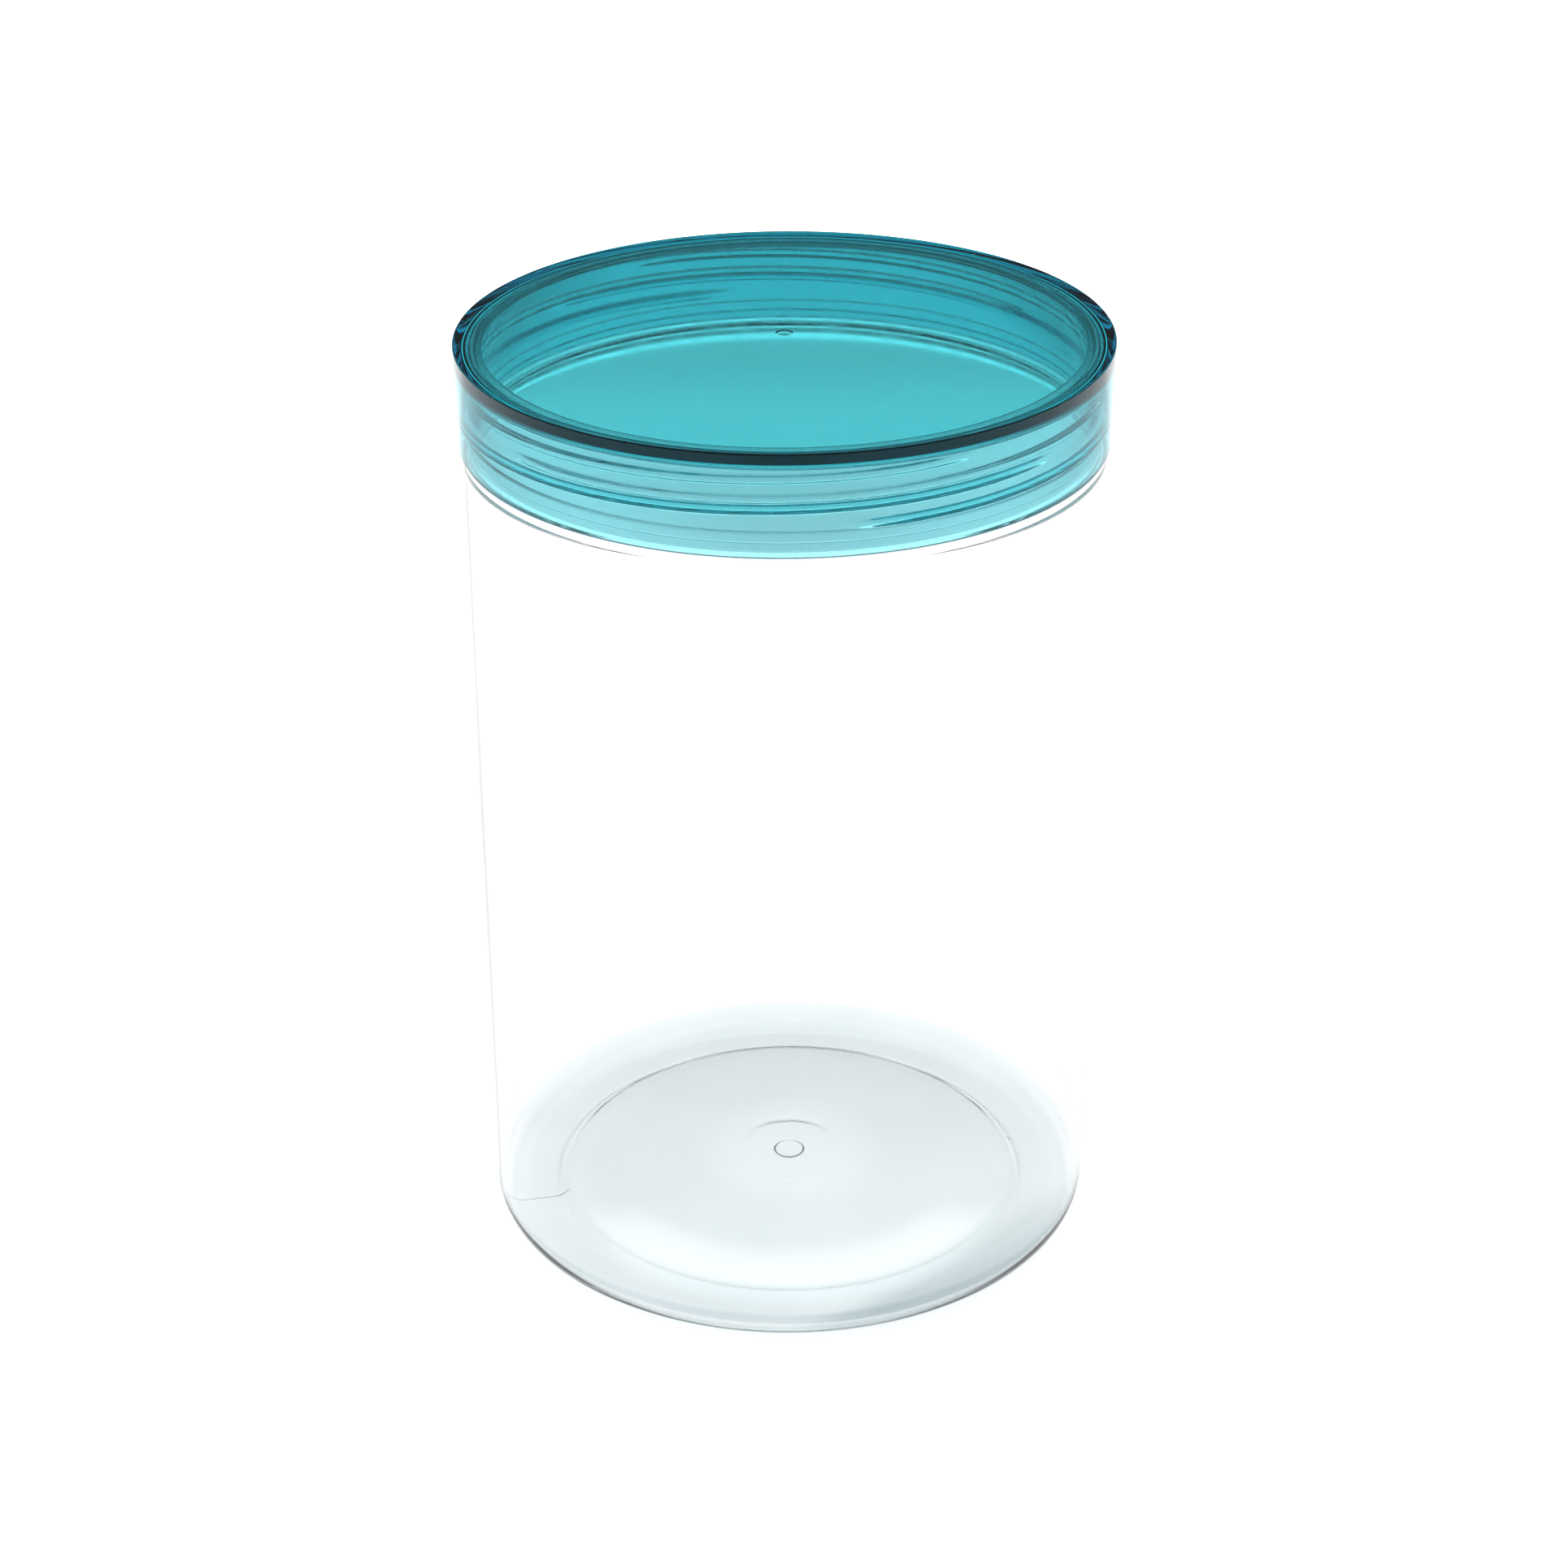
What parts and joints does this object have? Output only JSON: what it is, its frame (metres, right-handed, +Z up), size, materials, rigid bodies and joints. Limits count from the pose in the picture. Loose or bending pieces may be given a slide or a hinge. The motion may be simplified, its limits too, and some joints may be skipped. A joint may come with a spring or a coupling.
{
  "type": "screw-lid storage jar",
  "caption": "Clear straight-sided wide-mouth jar with a flat-topped tinted screw lid and a sealing ring under it.",
  "frame": {"origin": "centre of the base, on the plane the jar stands on", "axes": "+Z up along the jar's axis to the lid; -Y is the side the lid's lowest thread ends face"},
  "size_m": [0.102, 0.102, 0.153],
  "materials": {
    "clear_plastic": "clear gloss",
    "tinted_plastic": "transparent gloss",
    "seal": "translucent satin"
  },
  "bodies": {
    "jar": {"jar": "clear_plastic"},
    "sealing_ring": {"sealing_ring": "seal"},
    "lid": {"lid": "tinted_plastic"}
  },
  "joints": [
    {"name": "lid_rise", "type": "slide", "parent": "jar", "child": "sealing_ring", "axis": [0, 0, 1], "range_m": [0, 0.015]},
    {"name": "lid_turn", "type": "hinge", "parent": "sealing_ring", "child": "lid", "pos_m": [0, 0, 0.145], "axis": [0, 0, 1], "range_deg": [0, 900]}
  ],
  "couplings": [
    {"joint": "lid_rise", "follows": "lid_turn", "m_per_rad": 0.00095493}
  ]
}
